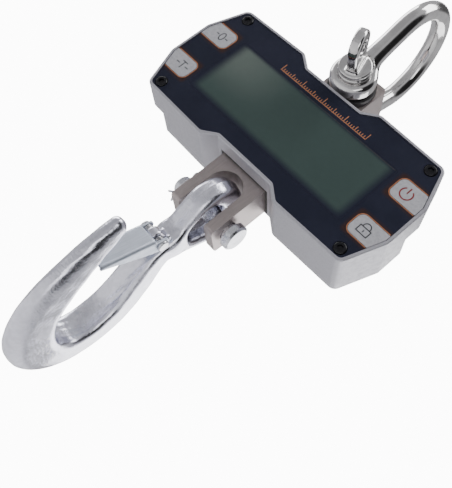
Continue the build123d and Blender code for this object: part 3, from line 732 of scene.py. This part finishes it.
# ==== Wire pieces =================================================================================
def wire(name, runs, radius):
    """Round wire along each run of points, in mm, as a mesh."""
    curve = bpy.data.curves.new(name, "CURVE")
    curve.dimensions = "3D"
    curve.bevel_depth = radius * MM
    curve.bevel_resolution = 4
    curve.use_fill_caps = True
    curve.resolution_u = 4
    for run in runs:
        spline = curve.splines.new("NURBS")
        spline.points.add(len(run) - 1)
        for point, place in zip(spline.points, run):
            point.co = (*(Vector(place) * MM), 1)
        spline.order_u = 3
        spline.use_endpoint_u = True
    piece = bpy.data.objects.new(name, curve)
    bpy.context.scene.collection.objects.link(piece)
    bpy.context.view_layer.update()
    mesh = bpy.data.meshes.new_from_object(piece.evaluated_get(bpy.context.evaluated_depsgraph_get()))
    bpy.data.objects.remove(piece)
    mesh.shade_smooth()
    return link(name, mesh)


def latch_spring():
    """Double torsion spring: a coil each side of the hook's shoulder and a leg from each to the neck."""
    coil_r, wire_r, turns, per_turn = 3.75, 0.48, 2.6, 14
    start_x, pitch = 4.4, 0.98
    runs = []
    for side in (-1, 1):
        leg_x = side * start_x
        run = [(leg_x, LATCH_Y + 10.5, LATCH_Z + 9.5), (leg_x, LATCH_Y + 6.0, LATCH_Z + 6.6),
               (leg_x, LATCH_Y + 1.8, LATCH_Z + coil_r)]
        for i in range(int(turns * per_turn) + 1):
            t = math.pi / 2 + 2 * math.pi * i / per_turn
            x = start_x + pitch * i / per_turn
            run.append((side * x, LATCH_Y + coil_r * math.cos(t), LATCH_Z + coil_r * math.sin(t)))
        last = run[-1]
        run.append((last[0], last[1] - 0.8, last[2] - 2.4))
        runs.append(run)
    piece = wire("latch_spring_wire", runs, wire_r)
    return finish_piece(piece, "hook", "spring_steel", SPRING, "latch_spring")


def split_pin():
    """Half-round wire folded into a loop, its two legs through the pin and turned apart below."""
    low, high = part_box("split_pin")
    x = 500 * (low.x + high.x)
    top, foot = CLEVIS_PIN_Z + 8.6, CLEVIS_PIN_Z - 8.2
    wire_r, loop_r = 0.8, 2.6
    run = [(x, -6.6, foot - 3.6), (x, -3.2, foot - 1.6), (x, -0.95, foot + 0.4), (x, -0.82, CLEVIS_PIN_Z - 4),
           (x, -0.82, CLEVIS_PIN_Z + 4), (x, -0.85, top - 0.6)]
    for i in range(11):
        t = math.radians(-115 - i * 31)
        run.append((x, loop_r * math.cos(t), top + 2.9 + loop_r * math.sin(t)))
    run += [(x, -y, z) for _, y, z in reversed(run[:6])]
    piece = wire("split_pin_wire", [run], wire_r)
    return finish_piece(piece, "clevis_pin", "zinc_small", PLATED, "split_pin")


# ==== Printed marks ===============================================================================
def ribbon(name, lines, width, y):
    """Flat raised ink, in mm, along open or closed lines of (x, z) points. Its face is at depth y."""
    points, faces = [], []
    thick = 0.05
    for line in lines:
        closed = line[0] == line[-1]
        pts = [np.array(p, float) for p in (line[:-1] if closed else line)]
        count = len(pts)
        rim = []
        for i, p in enumerate(pts):
            before = pts[i - 1] if closed or i > 0 else p
            after = pts[(i + 1) % count] if closed or i < count - 1 else p
            run_in, run_out = p - before, after - p
            way = sum(v / np.linalg.norm(v) for v in (run_in, run_out) if np.linalg.norm(v) > 0)
            way = way / np.linalg.norm(way)
            side = np.array((-way[1], way[0])) * width / 2
            if np.linalg.norm(run_in) > 0:
                turn = abs(np.dot(run_in / np.linalg.norm(run_in), way))
                side /= max(turn, 0.5)
            rim.append((p + side, p - side))
        base = len(points)
        for left, right in rim:
            for place, depth in ((left, y), (right, y), (right, y + thick), (left, y + thick)):
                points.append((place[0], depth, place[1]))
        spans = count if closed else count - 1
        for i in range(spans):
            a, b = base + 4 * i, base + 4 * ((i + 1) % count)
            for k in range(4):
                faces.append((a + k, a + (k + 1) % 4, b + (k + 1) % 4, b + k))
        if not closed:
            faces.append((base + 3, base + 2, base + 1, base))
            end = base + 4 * (count - 1)
            faces.append((end, end + 1, end + 2, end + 3))
    piece = mesh_from(name, points, faces)
    work = bmesh.new()
    work.from_mesh(piece.data)
    bmesh.ops.recalc_face_normals(work, faces=work.faces)
    work.to_mesh(piece.data)
    work.free()
    return piece


def arc(cx, cz, rx, rz, start, end, steps=20):
    return [(cx + rx * math.cos(math.radians(start + (end - start) * i / steps)),
             cz + rz * math.sin(math.radians(start + (end - start) * i / steps))) for i in range(steps + 1)]


def ring(cx, cz, rx, rz, steps=28):
    line = arc(cx, cz, rx, rz, 0, 360, steps)
    line[-1] = line[0]
    return line


def key_marks():
    """The signs on the keys: zero, tare, power and lock."""
    middle = {name: ((low + high) / 2) for name, (low, high) in KEY_BOXES.items()}
    ink_y = KEY_TOP_Y - 0.04
    thin, stout = 0.72, 0.95
    sign_x = 89.4
    x, z = -sign_x, middle["zero"].z
    zero = [ring(x, z, 1.9, 3.5), [(x - 5.6, z), (x - 3.0, z)], [(x + 3.0, z), (x + 5.6, z)]]
    x, z = -sign_x, middle["tare"].z
    tare = [[(x, z - 3.3), (x, z + 3.3)], [(x - 2.6, z + 3.2), (x + 2.6, z + 3.2)],
            [(x - 6.0, z), (x - 2.8, z)], [(x + 2.8, z), (x + 6.0, z)]]
    x, z = sign_x, middle["power"].z
    power = [arc(x, z - 0.4, 4.4, 4.4, 125, 415), [(x, z - 0.2), (x, z + 4.9)]]
    x, z = sign_x, middle["lock"].z
    left, right, foot, top = x - 4.2, x + 4.2, z - 4.0, z + 1.0
    body = [(left, foot), (right, foot), (right, top), (left, top), (left, foot)]
    bow = [(x - 2.7, z + 1.0), *arc(x, z + 2.0, 2.7, 2.6, 180, 0, 14), (x + 2.7, z + 1.0)]
    lock = [body, bow, [(x, z - 2.5), (x, z - 0.8)]]
    for name, lines, width, ink in (("zero", zero, thin, INK_DARK), ("tare", tare, thin, INK_DARK),
                                    ("power", power, stout, INK_RED), ("lock", lock, stout * 0.8, INK_DARK)):
        piece = ribbon(f"sign_{name}", lines, width, ink_y)
        finish_piece(piece, f"key_{name}", "key_grey", ink)


def key_surrounds():
    """The thin coloured line printed on the facia round each key."""
    corner, out, width = 4.5, 0.65, 0.55
    for name, (low, high) in KEY_BOXES.items():
        side = 1 if low.x > 0 else -1
        inner = min(abs(low.x), abs(high.x)) - out
        z0, z1 = low.z - out, high.z + out
        r = corner + out
        line = [(facia_edge(z1) - 0.4, z1)]
        line += arc(inner + r, z1 - r, r, r, 90, 180, 8)
        line += arc(inner + r, z0 + r, r, r, 180, 270, 8)
        line += [(facia_edge(z0) - 0.4, z0)]
        piece = ribbon(f"surround_{name}", [[(side * x, z) for x, z in line]], width, FACIA_Y - 0.03)
        finish_piece(piece, "housing", "facia_navy", INK_COPPER)


def facia_edge(z):
    """How far from the middle the facia's end reaches at a height."""
    end_x, end_z, corner_x, corner_z = FACIA_HIGH.x, 16.6, 93.0, 46.0
    beyond = max(abs(z - HOUSING_Z) - end_z, 0) / (corner_z - end_z)
    return end_x - 0.6 + (corner_x - end_x) * beyond


def graduation_marks():
    """A plain row of graduations above the display."""
    first, last, count = -38.0, 43.0, 41
    foot = HOUSING_Z + 27.6
    lines = []
    for i in range(count):
        x = first + (last - first) * i / (count - 1)
        tall = 5.6 if i % 10 == 0 else 4.0 if i % 5 == 0 else 2.4
        lines.append([(x, foot), (x, foot + tall)])
    lines.append([(first - 0.3, foot), (last + 0.3, foot)])
    piece = ribbon("graduation_marks", lines, 0.62, FACIA_Y - 0.03)
    finish_piece(piece, "housing", "facia_navy", INK_COPPER)
    edge_z = WINDOW_HIGH.z - 1.0
    edge = [(-16.0, edge_z), (WINDOW_HIGH.x - 1.0, edge_z)]
    piece = ribbon("display_edge_line", [edge], 0.5, FACIA_Y - 0.02)
    finish_piece(piece, "housing", "facia_navy", INK_DARK)


# ==== Put the object together =====================================================================
finish_piece(sculpt("hook", "hook_forging", 0.75, hook_field), "hook", "zinc_forging", ZINC, "hook")
finish_piece(sculpt("shackle_bow", "shackle_bow_forging", 0.9, bow_field), "shackle", "stainless_polished",
             POLISHED, "shackle_bow")
finish_piece(sculpt("shackle_pin", "shackle_eye_pin", 0.55, pin_field), "shackle", "stainless_polished",
             POLISHED, "shackle_pin")
latch()
latch_spring()
split_pin()

eased("housing_casting", "housing", "silver_casting", SILVER, 0.45)
eased("load_cell", "housing", "stainless_brushed", BRUSHED, 0.5)
eased("rear_cover", "housing", "silver_casting", SILVER, 0.3)
eased("shackle_spacers", "shackle", "nylon_black", NYLON, 0.5)
eased("clevis_pin", "clevis_pin", "zinc_small", PLATED, 0.35)
eased("clevis_washer", "clevis_pin", "zinc_small", PLATED, 0.4)
eased("charging_jack_nut", "housing", "zinc_small", PLATED, 0.4)
for key in KEY_BOXES:
    eased(f"key_{key}", f"key_{key}", "key_grey", KEY_GREY, 0.16)

key_marks()
key_surrounds()
graduation_marks()

dress(FACIA, "facia_panel")
dress(DISPLAY, "display_window")
dress(PLATED, "latch_rivet")
dress(BLACK_STEEL, "facia_screws", "rear_cover_screws", "load_cell_screws")
dress(RUBBER, "facia_gasket", "rear_cover_gasket", "top_seal", "bottom_seal")
dress(NYLON, "buzzer", "battery_bracket", "charging_jack", "tact_switches")
dress(WHITE, "lcd_frame", "backlight", *(f"plunger_{key}" for key in KEY_BOXES))
dress(BOARD, "main_board", "radio_module")
dress(CHIP, "board_components")
dress(GLASS, "lcd_glass")
dress(WRAP, "battery_pack")
dress(PLATED, "board_screws")
dress(FOIL, "strain_gauges")
dress(WIRE, "gauge_wires")


# ==== Floor, light and camera =====================================================================
FLOOR_HALF, FLOOR_Z = 1.1, -0.72
ROOM_LEVEL = 0.62
WHITE_LEVEL = 12.0
# Direction, angle where the card fades out, angle where it is full, and how much light it takes away
DARK_CARDS = [
    ((-0.36, -0.90, 0.25), 40, 20, 0.2),
    ((0.90, -0.36, 0.22), 46, 26, 0.96),
    ((-0.2, 0.35, -0.9), 34, 18, 0.7),
    ((0.1, 0.3, 0.95), 24, 12, 0.8),
]


def panel(name, points, faces):
    mesh = bpy.data.meshes.new(name)
    mesh.from_pydata(points, [], faces)
    return link(name, mesh)


def floor():
    """Plain pale floor well below the hook."""
    half, z = FLOOR_HALF, FLOOR_Z
    corners = [(-half, -half, z), (half, -half, z), (half, half, z), (-half, half, z)]
    made = panel("floor", corners, [(0, 1, 2, 3)])
    s = Shader("floor_paint", (0.86, 0.86, 0.865), 0.6)
    s.paint(s.blend(s.ranged(s.noise(6, 2), 0.3, 0.7), (0.85, 0.85, 0.855), (0.88, 0.88, 0.885)))
    made.data.materials.append(s.mat)


def studio():
    """White surroundings to the eye. Reflections see a pale room with dark cards in it."""
    world = bpy.data.worlds.new("studio")
    bpy.context.scene.world = world
    world.use_nodes = True
    tree = world.node_tree
    tree.nodes.clear()

    def node(kind, **settings):
        made = tree.nodes.new(kind)
        for key, value in settings.items():
            setattr(made, key, value)
        return made

    def number(operation, a, b):
        made = node("ShaderNodeMath", operation=operation)
        for socket, value in zip(made.inputs, (a, b)):
            if isinstance(value, (int, float)):
                socket.default_value = value
            else:
                tree.links.new(value, socket)
        return made.outputs[0]

    way = node("ShaderNodeTexCoord").outputs["Generated"]

    def facing(direction, outer, inner):
        """1 towards a direction and 0 away from it, between two angles in degrees."""
        dot = node("ShaderNodeVectorMath", operation="DOT_PRODUCT")
        tree.links.new(way, dot.inputs[0])
        dot.inputs[1].default_value = Vector(direction).normalized()
        edge = node("ShaderNodeMapRange", interpolation_type="SMOOTHSTEP")
        tree.links.new(dot.outputs["Value"], edge.inputs["Value"])
        edge.inputs["From Min"].default_value = math.cos(math.radians(outer))
        edge.inputs["From Max"].default_value = math.cos(math.radians(inner))
        return edge.outputs["Result"]

    level = ROOM_LEVEL
    for direction, outer, inner, share in DARK_CARDS:
        keep = number("SUBTRACT", 1.0, number("MULTIPLY", facing(direction, outer, inner), share))
        level = number("MULTIPLY", level, keep)
    room = node("ShaderNodeBackground")
    room.inputs["Color"].default_value = (0.97, 0.97, 1.0, 1)
    tree.links.new(level, room.inputs["Strength"])
    white = node("ShaderNodeBackground")
    white.inputs["Color"].default_value = (1, 1, 1, 1)
    white.inputs["Strength"].default_value = WHITE_LEVEL
    rays = node("ShaderNodeLightPath")
    mix = node("ShaderNodeMixShader")
    tree.links.new(rays.outputs["Is Camera Ray"], mix.inputs["Fac"])
    tree.links.new(room.outputs[0], mix.inputs[1])
    tree.links.new(white.outputs[0], mix.inputs[2])
    out = node("ShaderNodeOutputWorld")
    tree.links.new(mix.outputs[0], out.inputs["Surface"])


def softbox(name, place, target, size, power):
    light = bpy.data.lights.new(name, "AREA")
    light.shape = "RECTANGLE"
    light.size, light.size_y = size
    light.energy = power
    lamp = bpy.data.objects.new(name, light)
    bpy.context.scene.collection.objects.link(lamp)
    lamp.location = place
    lamp.rotation_euler = (Vector(target) - Vector(place)).to_track_quat("-Z", "Y").to_euler()


def camera():
    """The view from in front, to the right and a little below, turned so that the load axis leans."""
    right = Vector((0.654, 0.053, 0.754)).normalized()
    forward = Vector((-0.363, 0.897, 0.251))
    forward = (forward - right * forward.dot(right)).normalized()
    up = right.cross(forward)
    data = bpy.data.cameras.new("camera")
    data.lens = 49.80
    data.sensor_width = 36
    data.shift_x, data.shift_y = -0.0058, -0.0050
    data.clip_start = 0.01
    view = bpy.data.objects.new("camera", data)
    bpy.context.scene.collection.objects.link(view)
    view.matrix_world = (Matrix.Translation((0.19025, -0.40339, -0.3437))
                         @ Matrix((right, up, -forward)).transposed().to_4x4())
    bpy.context.scene.camera = view


CENTRE = (0, 0, -0.19)
floor()
studio()
softbox("left_light", (-1.0, -0.05, 0.35), CENTRE, (0.5, 1.0), 9)
softbox("right_light", (0.75, -0.75, -0.45), CENTRE, (0.35, 0.7), 2)
softbox("top_light", (0.15, -0.35, 0.95), CENTRE, (0.9, 0.5), 9)
softbox("rear_light", (0.3, 0.9, -0.1), CENTRE, (0.8, 0.8), 6)
camera()
